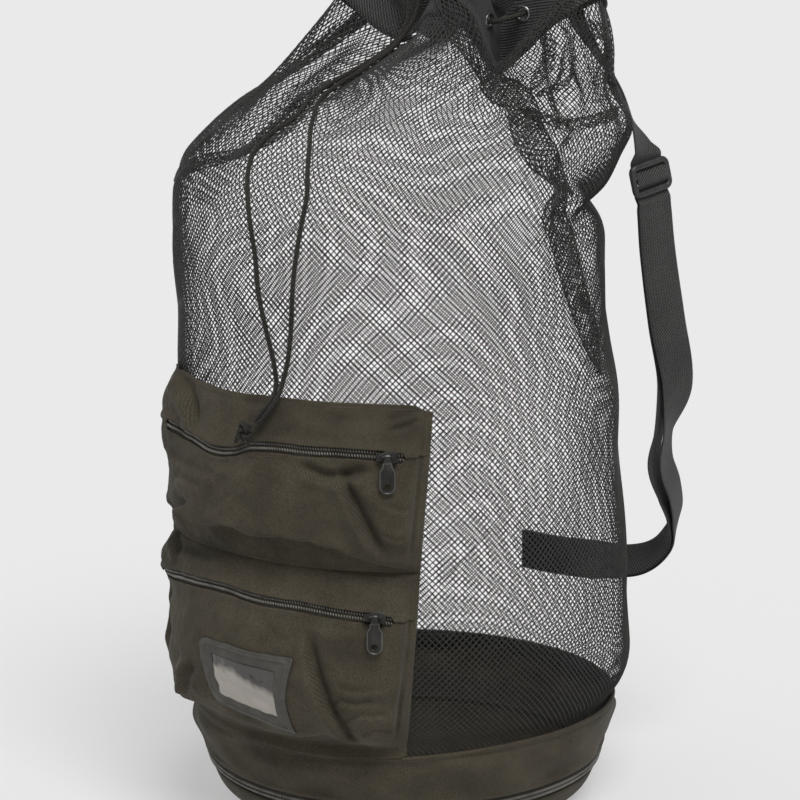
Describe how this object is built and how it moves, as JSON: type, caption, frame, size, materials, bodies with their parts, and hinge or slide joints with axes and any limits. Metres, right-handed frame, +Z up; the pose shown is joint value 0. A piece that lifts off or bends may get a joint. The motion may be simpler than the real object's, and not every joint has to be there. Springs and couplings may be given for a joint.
{
  "type": "mesh sparring gear bag",
  "caption": "Upright cylindrical net gear bag on a nylon base, with zipped front pockets, a card window, a drawcord mouth and a webbing shoulder strap.",
  "frame": {"origin": "middle of the flat underside of the base", "axes": "+Z up, the pockets face -Y, the shoulder strap hangs at the back towards +X and +Y"},
  "size_m": [0.3361, 0.3847, 0.6387],
  "materials": {
    "nylon": "plain woven nylon, matt",
    "net": "knitted mesh, matt",
    "webbing": "ribbed webbing, matt",
    "cord": "braided cord",
    "zip_tape": "coil zip on woven tape",
    "vinyl": "satin vinyl",
    "film": "clear glossy film",
    "buckle": "moulded, satin",
    "zip_metal": "black enamel, worn satin",
    "eyelet": "dark nickel"
  },
  "bodies": {
    "bag": {"base_bottom": "nylon", "base_wall": "nylon", "base_zip": "zip_tape", "net_sack": "net", "collar_tape": "webbing", "pocket_lower_front": "nylon", "pocket_lower_zip": "zip_tape", "pocket_lower_top": "nylon", "pocket_upper_front": "nylon", "pocket_upper_zip": "zip_tape", "pocket_upper_top": "nylon", "window_frame": "vinyl", "window_film": "film", "shoulder_strap": "webbing", "tri_glide": "buckle", "slider_lower": "zip_metal", "slider_upper": "zip_metal", "base_slider": "zip_metal", "drawcord_laced": "cord", "drawcord_left": "cord", "drawcord_right": "cord", "drawcord_knot": "cord", "eyelet_1": "eyelet", "eyelet_2": "eyelet", "eyelet_3": "eyelet", "eyelet_4": "eyelet", "eyelet_5": "eyelet", "eyelet_6": "eyelet", "eyelet_7": "eyelet", "eyelet_8": "eyelet"},
    "upper_pull": {"pull_upper": "zip_metal"},
    "lower_pull": {"pull_lower": "zip_metal"}
  },
  "joints": [
    {"name": "upper_pull_swing", "type": "hinge", "parent": "bag", "child": "upper_pull", "pos_m": [0.10268, -0.15547, 0.30126], "axis": [-0.7689, -0.6394, 0], "range_deg": [0, 150]},
    {"name": "lower_pull_swing", "type": "hinge", "parent": "bag", "child": "lower_pull", "pos_m": [0.09796, -0.16412, 0.18682], "axis": [-0.8175, -0.5759, 0], "range_deg": [0, 150]}
  ]
}
